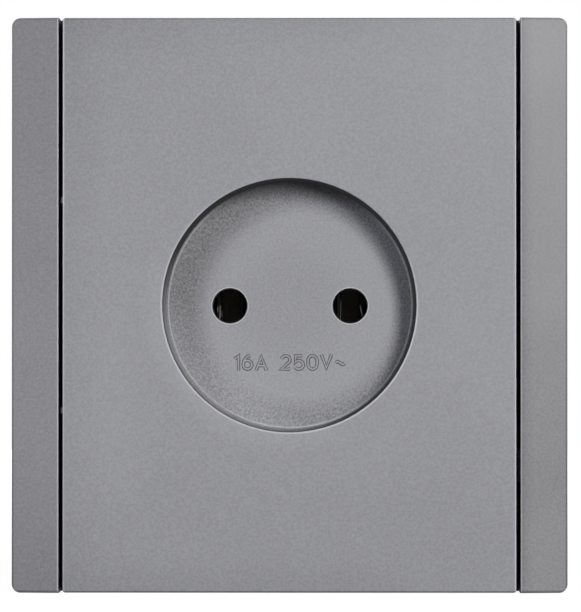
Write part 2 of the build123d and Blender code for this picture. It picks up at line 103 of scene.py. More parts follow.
# Nodes: the step from one noise to the next, the usual range of a noise, and the mix node's sockets
NOISE_STEP = (0.137, 0.211, 0.173)
NOISE_LOW = 0.3
NOISE_HIGH = 0.7
MIX_COLOURS = (6, 7)
MIX_RESULT = 2

# Raised rating on the well floor
CUP_FLOOR_T = 1.8 * MM
RATING = "16A 250V~"
RATING_CAP_H = 2.1 * MM
RATING_Z = -8.95 * MM
RATING_RISE = 0.24 * MM
RATING_SUNK = 0.03 * MM
CROSSING_DROP = 0.015 * MM
STROKE_BASE = 0.58 * MM
STROKE_TOP = 0.26 * MM
MITRE_LIMIT = 0.5
LETTER_GAP = 0.35
WORD_GAP = 1.16
ARC_STEP = 12.0
NEAR = 0.02

# Places on the two silver mouldings
STRIP_W = 7.4 * MM
PIN_X = 9.5 * MM
WELL_REACH = 20.2 * MM
FLOOR_MARGIN = 1.0 * MM
WALL_START = 19.2 * MM
WALL_FADE = 0.1 * MM
WALL_FRONT_INSET = 0.02 * MM
WALL_FOOT_INSET = 0.2 * MM
WALL_DEPTH_FADE = 0.2 * MM

# How far the spray reached. Where it did not, the mouldings are dark plastic.
BARE_PLASTIC = (0.035, 0.035, 0.037)
PAINT_DEPTH = 1.7 * MM
PAINT_FADE = 0.5 * MM
PAINT_SIDE = 1.4 * MM
SIDE_FADE = 0.3 * MM
PAINT_END = 0.5 * MM
END_FADE = 0.2 * MM
BEHIND_FLOOR_START = 0.2 * MM
BEHIND_FLOOR_END = 0.8 * MM
# Reach from a gap's middle of the dark plastic: the gaps' unpainted inside, and painted shade that
# widens the dark gaps over their edges
GAP_DARK_REACH = 0.34 * MM
EDGE_FADE = 0.04 * MM
NIB_Z = (15.9 * MM, 16.9 * MM)
NIB_MARGIN = 0.1 * MM
GAP_LUG_Z = (22.4 * MM, 27.6 * MM)
GAP_LUG_COVER = 0.55
LUG_FADE = 0.02 * MM
RAGGED_SCALE = 1500
RAGGED = 0.7
RAGGED_SPAN = (0.35, 0.65)

# Painted shade, mixed towards the dark plastic: on the wall and floor of the well, the letters, the
# outline and round the pin holes
# Painted shade on the well's wall: share of the paint's colour kept from the lower left to the
# upper right, along X+Z, and at the rim
WALL_LIGHT_AND_SHADE = (1.0, 0.04)
WALL_LIGHT_AND_SHADE_SPAN = (-23.0 * MM, -8.5 * MM)
WALL_LIGHT_AND_SHADE_FRONT = 0.10
WALL_FRONT_DEPTH = 5.0 * MM
# Painted shade on the letters' flanks: share of the paint's colour kept
LETTER_SHADE_SHARE = 0.25
LETTER_REACH = 14.0 * MM
LETTER_TOP_INSET = 0.02 * MM
LETTER_FOOT_INSET = 0.005 * MM
LETTER_FADE = 0.005 * MM
OUTLINE_W = 0.35 * MM
OUTLINE_FADE = 0.15 * MM
OUTLINE_DEPTH = 2.1 * MM
# Painted shade along the outline: share of the paint's colour kept at the bottom and at the top
OUTLINE_LOW_SHADE_SHARE = 0.44
OUTLINE_TOP_SHADE_SHARE = 0.78
# Painted shadow on the floor under the top of the well's wall: share of the paint's colour kept,
# where, and how high
TOP_FLOOR_SHADOW_SHARE = 0.45
TOP_FLOOR_RADII = (17.2 * MM, 19.0 * MM)
TOP_FLOOR_Z = (12.5 * MM, 17.5 * MM)
# Painted shade: a dark ring round each pin hole, out to this radius, widening its dark
PIN_SHADE = 2.84 * MM
PIN_SHADE_FADE = 0.03 * MM

# Painted highlights on edges: of the gaps, the well's rim and foot, and round the pin holes
HIGHLIGHT_BRIGHTNESS = 1.90
LINE_HIGHLIGHT = 0.78
WALL_HIGHLIGHT = 0.50
LINE_FADE = 0.06 * MM
EDGE_NEAR = 0.37 * MM
EDGE_FAR = 0.60 * MM
PANEL_LEFT_HIGHLIGHT = (0.55, 1.45)
PANEL_LEFT_Z = (-40.0 * MM, 30.0 * MM)
PANEL_RIGHT_HIGHLIGHT = 1.25
RIGHT_STRIP_HIGHLIGHT = 0.6
FRONT_NEAR = 0.05 * MM
FRONT_FAR = 0.15 * MM
RIM_START = 19.7 * MM
RIM_END = 20.12 * MM
RIM_FADE = 0.1 * MM
RIM_LEFT_SPAN = (-24.0 * MM, 18.0 * MM)
RIM_RIGHT_SPAN = (8.0 * MM, 22.0 * MM)
FOOT_START = 19.08 * MM
FOOT_END = 19.36 * MM
FOOT_H = 0.5 * MM
FOOT_FULL_H = 0.3 * MM
FOOT_LEFT_HIGHLIGHT = 0.78
FOOT_LEFT_SPAN = (-10.0 * MM, 12.0 * MM)
FOOT_RIGHT_HIGHLIGHT = 0.8
FOOT_RIGHT_X = (12.0 * MM, 17.0 * MM)
PIN_EDGE = 2.97 * MM

# Tones of the paint, each a share of its colour that is added or taken away
DARKEST = 0.5
LIGHTEST = 1.5
FLAKE_SCALE = 2700
FLAKE_TONE = 0.078
DRIFT_SCALE = 45
DRIFT_TONE = 0.03
GRAIN_SCALE = 3000
GRAIN_ROUGHNESS = 0.6
FLOOR_GRAIN = 0.055
# Ring of the floor by the well's wall: coarser grain, and painted shade on all of it but the lower
# left, where the key light falls
WALL_RING_GRAIN = 0.21
WALL_RING_SHADE = 0.27
WALL_RING_RIGHT = 1.5 * MM
WALL_RING_RADII = (14.2 * MM, 17.4 * MM)
WALL_RING_SHADE_SPAN = (-27.0 * MM, -16.0 * MM)
# Painted light: the lower floor lighter, and a ring round the floor's middle lighter than its
# centre
LOW_FLOOR_LIGHT = 0.075
LOW_FLOOR_Z = (-14.0 * MM, 4.0 * MM)
FLOOR_CENTRE_SHADE = -0.03
FLOOR_RING_LIGHT = 0.05
FLOOR_RING_RADII = (4.0 * MM, 11.0 * MM)
# Painted highlight on the front round the well's lower left
LIP_HIGHLIGHT = 0.14
LIP_END = 23.5 * MM
LIP_SPAN = (-28.0 * MM, -4.0 * MM)
# Both strips' paint is darker; the left strip is darker still as painted shade, for it faces away
# from the key light
LEFT_STRIP_TONE_AND_SHADE = -0.175
RIGHT_STRIP_TONE = -0.085
STRIP_TINT = (1.0, 0.985, 0.965)
# Painted light and shade on the front: area, tone, and the measures by which it fades, from full to
# none, in millimetres
LIGHT_AND_SHADE_PATCHES = (
    ("front", -0.065, (("x", -32.0, -6.0), ("z", 32.0, 4.0))),
    ("front", -0.065, (("x", 40.0, -10.0), ("z", -36.0, -8.0))),
    ("front", 0.06, (("x", -26.0, -18.0), ("z", -20.0, -32.0), ("z", -4.0, 8.0))),
    ("panel", -0.085, (("level", 44.5, 38.5), ("x", 8.0, 22.0))),
    ("panel", -0.065, (("x", -34.0, -28.0),)),
    ("left_strip", -0.05, (("z", -40.0, -30.0),)),
    ("right_strip", -0.085, (("z", -27.0, -35.0), ("z", -7.0, 1.0))),
    ("right_strip", 0.085, (("z", 38.0, 29.0),)),
    ("right_strip", -0.12, (("off_gap", 0.75, 2.6),)),
    ("right_strip", -0.08, (("off_gap", 0.75, 1.05),)),
)

# Gloss and relief of the paint
PAINT_SPECULAR = 0.15
PAINT_ROUGHNESS = (0.40, 0.50)
WALL_ROUGHNESS = 0.8
FLAKE_RELIEF = 0.14
PAINT_RELIEF = 0.045 * MM

# Bright metal
METAL_DARK = 0.86
METAL_LIGHT = 1.1
TOOL_MARK_SCALE = 1400
TOOL_MARK_DEPTH = 0.004 * MM
ROLLED_SHARE = 0.45

# Contacts
# Near-black tips of the leaves: painted shade deep in the pin holes
TIP_SHADE = (0.012, 0.012, 0.011)
GLINT_COLOUR = (0.78, 0.77, 0.74)
TIP_Y = (8.5 * MM, 11.0 * MM)
TIP_ROUGHNESS = 0.7
GLINT_FADE = 0.3 * MM
# Painted glints on the leaves' tips: X level with the pins, lean, lower and upper end, width,
# strength
PAINTED_GLINTS = (
    (-11.61 * MM, 0.00, -1.1 * MM, 0.0 * MM, 0.30 * MM, 1.00),
    (-11.12 * MM, 0.03, -2.1 * MM, 0.2 * MM, 0.20 * MM, 0.40),
    (-10.92 * MM, 0.00, -1.8 * MM, -0.7 * MM, 0.16 * MM, 0.50),
    (8.05 * MM, 0.04, -2.4 * MM, 1.1 * MM, 0.20 * MM, 0.34),
    (11.10 * MM, -0.23, -1.8 * MM, 0.2 * MM, 0.20 * MM, 0.42),
)

# Claw screws
SCREW_SIDES = 36
SCREW_SHANK_R = 1.5 * MM
SCREW_HEAD_H = 2.0 * MM
SCREW_HEAD_ROUND = 0.45 * MM
SCREW_ROUND_STEPS = 5
SCREW_SLOT_W = 0.8 * MM
SCREW_SLOT_DEPTH = 0.9 * MM
THREAD_PITCH = 0.5 * MM
THREAD_DEPTH = 0.27 * MM
THREAD_ROWS = 8
THREAD_RUNOUT = 0.9 * MM
TIP_START_SHARE = 0.95
TIP_END_SHARE = 0.7
SMOOTH_ANGLE = 32.0


class Value:
    """Output of a node. Sums, products and comparisons with it add the nodes that work them out."""

    def __init__(self, graph, output):
        self.graph = graph
        self.output = output

    def __add__(self, other):
        return self.graph.math("ADD", self, other)

    def __sub__(self, other):
        return self.graph.math("SUBTRACT", self, other)

    def __rsub__(self, other):
        return self.graph.math("SUBTRACT", other, self)

    def __mul__(self, other):
        return self.graph.math("MULTIPLY", self, other)

    def __lt__(self, other):
        return self.graph.math("LESS_THAN", self, other)

    def __gt__(self, other):
        return self.graph.math("GREATER_THAN", self, other)

    def __abs__(self):
        return self.graph.math("ABSOLUTE", self)


class Graph:
    """Node tree of a material or a world, and short ways to add nodes to it."""

    def __init__(self, owner):
        owner.use_nodes = True
        self.tree = owner.node_tree

    def feed(self, socket, value):
        """Links a value to a socket, or sets the socket to a plain number, vector or colour."""
        if isinstance(value, Value):
            self.tree.links.new(value.output, socket)
        else:
            socket.default_value = value

    def node(self, kind, output, inputs, **settings):
        """Adds a node and gives one of its outputs. Sockets go by name or number."""
        node = self.tree.nodes.new(kind)
        for name, setting in settings.items():
            setattr(node, name, setting)
        for socket, value in inputs.items():
            self.feed(node.inputs[socket], value)
        return Value(self, node.outputs[output])

    def end(self, kind, surface):
        """Adds the output node, which shows the surface."""
        self.feed(self.tree.nodes.new(kind).inputs["Surface"], surface)

    def math(self, operation, first, second=0.0):
        """Result of a math node on two values or numbers."""
        return self.node("ShaderNodeMath", "Value", {0: first, 1: second}, operation=operation)

    def most(self, first, *others):
        """The largest of the values."""
        for other in others:
            first = self.math("MAXIMUM", first, other)
        return first

    def spread(self, value, first, last, start=NOISE_LOW, end=NOISE_HIGH):
        """The value's range from start to end, mapped to the range from first to last."""
        limits = {"From Min": start, "From Max": end, "To Min": first, "To Max": last}
        return self.node("ShaderNodeMapRange", "Result", {"Value": value, **limits})

    def rises(self, value, start, end):
        """0 up to the start and 1 from the end."""
        return self.spread(value, 0, 1, start, end)

    def falls(self, value, start, end):
        """1 up to the start and 0 from the end."""
        return self.spread(value, 1, 0, start, end)

    def within(self, value, low, high, fade):
        """1 between two limits, fading out inside them."""
        return self.rises(value, low, low + fade) * self.falls(value, high - fade, high)

    def seen_directly(self):
        """1 for camera, glossy and transmission rays and 0 for the rest."""
        path = self.tree.nodes.new("ShaderNodeLightPath")
        rays = ("Is Camera Ray", "Is Glossy Ray", "Is Transmission Ray")
        return self.most(*(Value(self, path.outputs[ray]) for ray in rays))


class Surface(Graph):
    """A Principled material."""

    def __init__(self, name, **constants):
        self.material = bpy.data.materials.new(name)
        super().__init__(self.material)
        self.shader = self.tree.nodes["Principled BSDF"]
        for socket, value in constants.items():
            self.show(value, socket.replace("_", " "))
        self.place = self.node("ShaderNodeTexCoord", "Object", {})
        self.noises = 0

    def show(self, value, socket):
        """Gives one of the shader's sockets a value or a number."""
        self.feed(self.shader.inputs[socket], value)

    def axes(self):
        """The three coordinates of the surface, in metres."""
        parts = self.tree.nodes.new("ShaderNodeSeparateXYZ")
        self.feed(parts.inputs["Vector"], self.place)
        return [Value(self, output) for output in parts.outputs]

    def noise(self, scale, detail=2.0, roughness=0.5, stretch=(1, 1, 1)):
        """Noise of so many cells a metre, stretched along the axes, with a start of its own."""
        self.noises += 1
        start = [step * self.noises for step in NOISE_STEP]
        moved = {"Vector": self.place, "Location": start, "Scale": stretch}
        place = self.node("ShaderNodeMapping", "Vector", moved)
        grain = {"Vector": place, "Scale": scale, "Detail": detail, "Roughness": roughness}
        return self.node("ShaderNodeTexNoise", "Fac", grain)

    def tones(self, factor, dark, light):
        """Colour between two tones, each a plain colour or a value."""
        tones = [tone if isinstance(tone, Value) else (*tone, 1) for tone in (dark, light)]
        inputs = {"Factor": factor, **dict(zip(MIX_COLOURS, tones))}
        return self.node("ShaderNodeMix", MIX_RESULT, inputs, data_type="RGBA")

    def mottled(self, noise, colour, dark, light):
        """The colour, made darker and lighter by a noise."""
        return self.tones(self.spread(noise, 0, 1), shade(colour, dark), shade(colour, light))

    def bump(self, height, distance):
        """Relief whose full height is the distance, in metres."""
        inputs = {"Strength": 1.0, "Distance": distance, "Height": height}
        self.show(self.node("ShaderNodeBump", "Normal", inputs), "Normal")


def shade(colour, factor):
    """The colour made lighter or darker."""
    return tuple(channel * factor for channel in colour)


class Paint(Surface):
    """Satin silver paint on the two dark mouldings, placed by the sizes of the part."""

    def __init__(self, floor_y):
        super().__init__("silver_paint", Specular_IOR_Level=PAINT_SPECULAR)
        panel_low, panel_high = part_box("face_panel")
        self.side_x, _, self.top_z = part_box("trim_frame")[1]
        self.front_y, self.panel_top_z, self.floor_y = panel_low.y, panel_high.z, floor_y
        self.gap_x = (panel_high.x + self.side_x - STRIP_W) / 2
        self.x, self.y, self.z = self.axes()
        self.across, self.level = abs(self.x), abs(self.z)
        self.diagonal = self.x + self.z
        self.radius = self.distance(self.x, self.z)
        self.to_pin = self.distance(self.across - PIN_X, self.z)
        self.off_gap = abs(self.across - self.gap_x)
        self.left_strip = self.x < -self.gap_x
        self.right_strip = self.x > self.gap_x
        self.strips = self.left_strip + self.right_strip
        self.on_floor = self.y > floor_y - FLOOR_MARGIN
        self.wall = self.well_wall()

    def distance(self, first, second):
        """Length of a vector from its two parts."""
        return self.math("SQRT", self.math("POWER", first, 2.0) + self.math("POWER", second, 2.0))

    def well_wall(self):
        """1 on the steep wall of the plug well, which gets painted shade and a painted highlight.
        """
        steep = self.within(self.radius, WALL_START, WELL_REACH, WALL_FADE)
        start_y, end_y = self.front_y + WALL_FRONT_INSET, self.floor_y - WALL_FOOT_INSET
        return steep * self.within(self.y, start_y, end_y, WALL_DEPTH_FADE)

    def sprayed(self):
        """1 where the spray reached: the front, the outer sides and ends, and the plug well. The
        gaps stay dark, partly unpainted and partly as painted shade.
        """
        depth, behind = self.front_y + PAINT_DEPTH, self.floor_y + BEHIND_FLOOR_START
        side_x, end_z = self.side_x - PAINT_SIDE, self.top_z - PAINT_END
        front = self.falls(self.y, depth, depth + PAINT_FADE)
        sides = self.rises(self.across, side_x, side_x + SIDE_FADE)
        ends = self.rises(self.level, end_z, end_z + END_FADE)
        well = self.falls(self.radius, WELL_REACH, WELL_REACH + SIDE_FADE)
        well = well * self.falls(self.y, behind, self.floor_y + BEHIND_FLOOR_END)
        # Dark plastic in and along the gaps: partly unpainted, partly painted shade
        outside_gap_dark = self.rises(self.off_gap, GAP_DARK_REACH, GAP_DARK_REACH + EDGE_FADE)
        left_half = (self.x < 0.0) * (self.x > -self.gap_x - NIB_MARGIN)
        nibs = self.within(self.level, *NIB_Z, LUG_FADE) * left_half
        reached = self.most(front, sides, ends, well) * self.most(outside_gap_dark, nibs)
        lugs = self.within(self.level, *GAP_LUG_Z, LUG_FADE) * (1.0 - outside_gap_dark)
        reached = self.most(reached, lugs * self.right_strip * GAP_LUG_COVER)
        ragged = (self.noise(RAGGED_SCALE, detail=3.0) - 0.5) * RAGGED
        return self.rises(reached + ragged, *RAGGED_SPAN)

    def outline(self):
        """1 along the outer front edges, which get painted shade."""
        side_x, end_z = self.side_x - OUTLINE_W, self.panel_top_z - OUTLINE_W
        side = self.rises(self.across, side_x, side_x + OUTLINE_FADE)
        end = self.rises(self.level, end_z, end_z + OUTLINE_FADE)
        return self.most(side, end) * (self.y < self.front_y + OUTLINE_DEPTH)

    def letter_sides(self):
        """1 on the flanks of the raised letters, which get painted shade."""
        start_y = self.floor_y - RATING_RISE + LETTER_TOP_INSET
        flank = self.within(self.y, start_y, self.floor_y - LETTER_FOOT_INSET, LETTER_FADE)
        return flank * (self.radius < LETTER_REACH)

    def cover_and_shade(self):
        """How much of the dark plastic the paint hides, lowered where shade is painted."""
        front_end_y = self.front_y + WALL_FRONT_DEPTH
        # Painted shade on the well's wall, darker towards the upper right and towards the rim
        wall_shade = self.spread(self.diagonal, *WALL_LIGHT_AND_SHADE, *WALL_LIGHT_AND_SHADE_SPAN)
        wall_shade = wall_shade * self.spread(self.y, WALL_LIGHT_AND_SHADE_FRONT, 1, self.front_y, front_end_y)
        cover_and_shade = self.wall * wall_shade + (1.0 - self.wall)
        # Painted shade on the flanks of the letters
        cover_and_shade = cover_and_shade * self.spread(self.letter_sides(), 1, LETTER_SHADE_SHARE, 0, 1)
        # Painted shade along the outer front edges, darker towards the bottom
        outline_darkening = (1 - OUTLINE_LOW_SHADE_SHARE, 1 - OUTLINE_TOP_SHADE_SHARE)
        outline_shade = self.spread(self.z, *outline_darkening, -self.panel_top_z, self.panel_top_z)
        cover_and_shade = cover_and_shade * (1.0 - self.outline() * outline_shade)
        # Painted shadow on the floor under the top of the well's wall
        top = self.rises(self.radius, *TOP_FLOOR_RADII) * self.rises(self.z, *TOP_FLOOR_Z)
        cover_and_shade = cover_and_shade * self.spread(top * self.on_floor, 1, TOP_FLOOR_SHADOW_SHARE, 0, 1)
        # Painted shade: a dark ring round each pin hole, widening its dark
        cover_and_shade = cover_and_shade * self.rises(self.to_pin, PIN_SHADE - PIN_SHADE_FADE, PIN_SHADE)
        return self.sprayed() * cover_and_shade

    def floor_tone(self, grain):
        """Grain of the well floor, coarser towards the wall, with painted shade and light on it."""
        # Near the wall the grain is coarser and shade is painted, except at the lower left
        grain_and_shade_ring = self.rises(self.distance(self.x - WALL_RING_RIGHT, self.z), *WALL_RING_RADII)
        strength = self.spread(grain_and_shade_ring, FLOOR_GRAIN, FLOOR_GRAIN + WALL_RING_GRAIN, 0, 1)
        # Painted light on the lower floor, less the painted shade by the wall
        floor_light_and_shade = self.spread(self.z, LOW_FLOOR_LIGHT, 0, *LOW_FLOOR_Z)
        floor_light_and_shade = floor_light_and_shade - grain_and_shade_ring * self.spread(self.diagonal, 0, WALL_RING_SHADE, *WALL_RING_SHADE_SPAN)
        # Painted light: a lighter ring round a darker centre
        middle = self.spread(self.radius, FLOOR_CENTRE_SHADE, FLOOR_RING_LIGHT, *FLOOR_RING_RADII)
        return (self.spread(grain, -1, 1) * strength + (floor_light_and_shade + middle)) * self.on_floor

    def front_tone(self):
        """Tones of the strips, the left one partly painted shade; painted light and shade in
        patches on the front; and a painted highlight on the lip of the well.
        """
        areas = {"front": 1.0, "panel": 1.0 - self.strips}
        areas.update(left_strip=self.left_strip, right_strip=self.right_strip)
        measures = {"x": self.x, "z": self.z, "level": self.level, "off_gap": self.off_gap}
        # Painted highlight on the lip of the well at its lower left
        painted_light_and_shade = self.spread(self.radius, LIP_HIGHLIGHT, 0, WELL_REACH, LIP_END)
        painted_light_and_shade = painted_light_and_shade * self.falls(self.diagonal, *LIP_SPAN)
        # Painted light and shade in patches on the front
        for area, tone, fades in LIGHT_AND_SHADE_PATCHES:
            patch = areas[area]
            for measure, full, end in fades:
                patch = self.falls(measures[measure], full * MM, end * MM) * patch
            painted_light_and_shade = painted_light_and_shade + patch * tone
        # Darker paint on the strips, and painted shade on the left one
        strips = self.left_strip * LEFT_STRIP_TONE_AND_SHADE + self.right_strip * RIGHT_STRIP_TONE
        return painted_light_and_shade * (1.0 - self.on_floor) + strips

    def gap_highlight_strength(self):
        """How strong the painted highlight on each side of the two gaps is."""
        panel = 1.0 - self.strips
        left = panel * (self.x < 0.0) * self.spread(self.z, *PANEL_LEFT_HIGHLIGHT, *PANEL_LEFT_Z)
        right = panel * (self.x > 0.0) * PANEL_RIGHT_HIGHLIGHT
        return left + right + (self.left_strip + self.right_strip * RIGHT_STRIP_HIGHLIGHT)

    def painted_highlights(self):
        """Painted highlights on the edges of the gaps, the well's rim and foot, the pin holes and
        the lower left of the well's wall.
        """
        gaps = self.within(self.off_gap, EDGE_NEAR, EDGE_FAR, LINE_FADE) * self.gap_highlight_strength()
        on_front = self.falls(self.y, self.front_y + FRONT_NEAR, self.front_y + FRONT_FAR)
        low_left = self.falls(self.diagonal, *RIM_LEFT_SPAN)
        low_right = self.rises(self.x - self.z, *RIM_RIGHT_SPAN)
        rim = self.within(self.radius, RIM_START, RIM_END, RIM_FADE) * on_front
        rim = rim * self.most(low_left, low_right)
        at_floor = self.rises(self.y, self.floor_y - FOOT_H, self.floor_y - FOOT_FULL_H)
        foot_left = self.spread(self.diagonal, FOOT_LEFT_HIGHLIGHT, 0, *FOOT_LEFT_SPAN)
        foot_right = self.spread(self.x, 0, FOOT_RIGHT_HIGHLIGHT, *FOOT_RIGHT_X)
        foot = self.within(self.radius, FOOT_START, FOOT_END, LINE_FADE) * at_floor
        foot = foot * self.most(foot_left, foot_right)
        holes = self.falls(self.to_pin, PIN_EDGE - LINE_FADE, PIN_EDGE) * at_floor
        lines = self.most(gaps, rim, foot) * LINE_HIGHLIGHT
        return self.most(lines, holes, self.wall * low_left * WALL_HIGHLIGHT)


def silver_paint(colour, floor_y):
    """Fine flakes in the paint, and a coarser grain on the well floor."""
    look = Paint(floor_y)
    cover_and_shade = look.cover_and_shade()
    flakes = look.noise(FLAKE_SCALE, detail=1.0)
    grain = look.noise(GRAIN_SCALE, detail=2.0, roughness=GRAIN_ROUGHNESS)
    drift = look.noise(DRIFT_SCALE, detail=2.0)
    speckle = look.spread(flakes, -FLAKE_TONE, FLAKE_TONE)
    speckle = speckle + look.spread(drift, -DRIFT_TONE, DRIFT_TONE)
    # The floor and front tones carry painted light and shade
    tone = speckle + look.floor_tone(grain) + (look.front_tone() + (1 - DARKEST))
    strip_colour = tuple(channel * tint for channel, tint in zip(colour, STRIP_TINT))
    dark = look.tones(look.strips, shade(colour, DARKEST), shade(strip_colour, DARKEST))
    light = look.tones(look.strips, shade(colour, LIGHTEST), shade(strip_colour, LIGHTEST))
    # Painted highlights on the edges, over the paint's tones
    paint = look.tones(look.painted_highlights(), look.tones(tone, dark, light), shade(colour, HIGHLIGHT_BRIGHTNESS))
    look.show(look.tones(cover_and_shade, BARE_PLASTIC, paint), "Base Color")
    roughness = look.spread(flakes, *PAINT_ROUGHNESS)
    look.show(look.most(roughness, look.wall * WALL_ROUGHNESS), "Roughness")
    look.bump(flakes * FLAKE_RELIEF + grain * look.on_floor, PAINT_RELIEF)
    return look.material


def black_plastic(colour):
    """Black moulding with a fine spark-eroded grain."""
    look = Surface("black_plastic")
    drift = look.noise(scale=90, detail=3.0)
    look.show(look.mottled(drift, colour, dark=0.8, light=1.3), "Base Color")
    grain = look.noise(scale=2800, detail=2.0)
    look.show(look.spread(grain, first=0.42, last=0.58), "Roughness")
    look.bump(grain, distance=0.02 * MM)
    return look.material


def zinc_sheet(colour):
    """Plated steel sheet with rolling marks along Z and cloudy patches."""
    look = Surface("zinc_sheet", Metallic=1.0)
    rolled = look.noise(scale=900, detail=3.0, stretch=(1, 1, 0.04))
    clouds = look.noise(scale=110, detail=3.0)
    tone = rolled * ROLLED_SHARE + clouds * (1 - ROLLED_SHARE)
    look.show(look.mottled(tone, colour, dark=0.82, light=1.12), "Base Color")
    look.show(look.spread(tone, first=0.46, last=0.30), "Roughness")
    look.bump(rolled, distance=0.006 * MM)
    return look.material


def plated(name, colour, smooth, rough):
    """Small bright metal piece with faint tool marks."""
    look = Surface(name, Metallic=1.0)
    marks = look.noise(TOOL_MARK_SCALE, detail=3.0)
    clouds = look.noise(scale=260, detail=2.0)
    look.show(look.mottled(clouds, colour, METAL_DARK, METAL_LIGHT), "Base Color")
    look.show(look.spread(marks, smooth, rough), "Roughness")
    look.bump(marks, TOOL_MARK_DEPTH)
    return look.material


def glint_lines(look, x, z):
    """How strong the painted glint on the leaves' tips is, up to 1 in the middle of a line."""
    glint_level = 0.0
    for place, lean, low, high, width, strength in PAINTED_GLINTS:
        line = look.within(x - z * lean - place, -width / 2, width / 2, width / 3)
        line = line * look.within(z, low, high, GLINT_FADE)
        glint_level = look.most(line * strength, glint_level)
    return glint_level


def contact_brass(colour):
    """Rolled brass, dark and matt at the tips of the leaves: painted shade deep in the pin holes.
    """
    look = Surface("contact_brass", Specular_IOR_Level=0.0)
    x, y, z = look.axes()
    tip = look.falls(y, *TIP_Y)
    clouds = look.noise(scale=420, detail=3.0)
    marks = look.noise(TOOL_MARK_SCALE, detail=3.0)
    bright = look.mottled(clouds, colour, METAL_DARK, METAL_LIGHT)
    # Painted shade on the tips of the leaves
    shaded_tips = look.mottled(clouds, TIP_SHADE, dark=0.6, light=1.3)
    # Painted glints on the shaded tips
    shaded_tips = look.tones(glint_lines(look, x, z), shaded_tips, GLINT_COLOUR)
    look.show(look.tones(tip, bright, shaded_tips), "Base Color")
    look.show(1.0 - tip, "Metallic")
    roughness = look.spread(marks, first=0.24, last=0.40)
    look.show(look.most(roughness, tip * TIP_ROUGHNESS), "Roughness")
    look.bump(marks, TOOL_MARK_DEPTH)
    return look.material


def make_looks(floor_y):
    """One material for each of the record's slots, from the colours stated there."""
    colours = {m["slot"]: m["base_color"] for m in frame["record"]["materials"]}
    return {
        "silver_plastic": silver_paint(colours["silver_plastic"], floor_y),
        "black_plastic": black_plastic(colours["black_plastic"]),
        "zinc_sheet": zinc_sheet(colours["zinc_sheet"]),
        "zinc_screw": plated("zinc_screw", colours["zinc_screw"], smooth=0.22, rough=0.36),
        "contact_brass": contact_brass(colours["contact_brass"]),
        "rivet_brass": plated("rivet_brass", colours["rivet_brass"], smooth=0.26, rough=0.42),
    }


def dress(looks):
    """Gives every CAD node the look of its slot."""
    for part in frame["record"]["subparts"]:
        for slot in frame["nodes"][part["node"]].material_slots:
            slot.material = looks[part["material_slot"]]


def finished(shape, name):
    """Mesh of a shape, which is used up."""
    mesh = bpy.data.meshes.new(name)
    shape.to_mesh(mesh)
    shape.free()
    return mesh


def add_piece(name, mesh, look, body):
    """Puts a finished mesh into the scene, riding on a body."""
    mesh.materials.append(look)
    piece = bpy.data.objects.new(name, mesh)
    bpy.context.scene.collection.objects.link(piece)
    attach(piece, body)
    return piece


def arc(centre, radii, start, end):
    """Points of an elliptic arc, with angles in degrees from +X towards +Z."""
    steps = max(2, round(abs(end - start) / ARC_STEP))
    turns = [math.radians(start + (end - start) * i / steps) for i in range(steps + 1)]
    return [(centre[0] + radii[0] * math.cos(a), centre[1] + radii[1] * math.sin(a)) for a in turns]


def wave(width, height, level):
    """Points of one period of a sine."""
    steps = round(360 / ARC_STEP)
    turns = [2 * math.pi * i / steps for i in range(steps + 1)]
    return [(width * i / steps, level + height * math.sin(a)) for i, a in enumerate(turns)]


# Each letter is its width and the middle lines of its strokes, which are 1 high.
GLYPHS = {
    "0": (0.68, [
        arc((0.34, 0.64), (0.34, 0.36), 0, 180)
        + arc((0.34, 0.36), (0.34, 0.36), 180, 360)
        + [(0.68, 0.64)],
    ]),
    "1": (0.26, [[(0.0, 0.78), (0.26, 0.97), (0.26, -0.11)]]),
    "2": (0.65, [arc((0.325, 0.70), (0.31, 0.30), 165, -35) + [(0.0, 0.0), (0.65, 0.0)]]),
    "5": (0.65, [
        [(0.58, 1.0), (0.09, 1.0), (0.04, 0.50)] + arc((0.31, 0.32), (0.34, 0.32), 128, -150),
    ]),
    "6": (0.65, [
        arc((0.325, 0.325), (0.325, 0.325), 0, 360),
        arc((0.56, 0.33), (0.56, 0.67), 92, 178),
    ]),
    "A": (0.72, [[(-0.03, -0.10), (0.36, 0.92), (0.75, -0.10)], [(0.13, 0.26), (0.59, 0.26)]]),
    "V": (0.70, [[(-0.03, 1.10), (0.35, 0.08), (0.73, 1.10)]]),
    "~": (0.70, [wave(0.70, 0.11, 0.45)]),
}


def spaced(points):
    """The points without those that nearly repeat the one before."""
    kept = points[:1]
    for point in points[1:]:
        if math.dist(point, kept[-1]) > NEAR * RATING_CAP_H:
            kept.append(point)
    return kept


def stroke_sides(lines, closed, half_width):
    """Left and right edge of a stroke along its middle line, with mitred corners."""
    last = len(lines) - 1
    edges = []
    for i, here in enumerate(lines):
        before = here - lines[i - 1] if i or closed else lines[1] - here
        after = lines[(i + 1) % (last + 1)] - here if i < last or closed else before
        along = (before.normalized() + after.normalized()).normalized()
        across = Vector((-along.y, along.x))
        reach = half_width / max(MITRE_LIMIT, along.dot(after.normalized()))
        edges.append((here + across * reach, here - across * reach))
    return edges


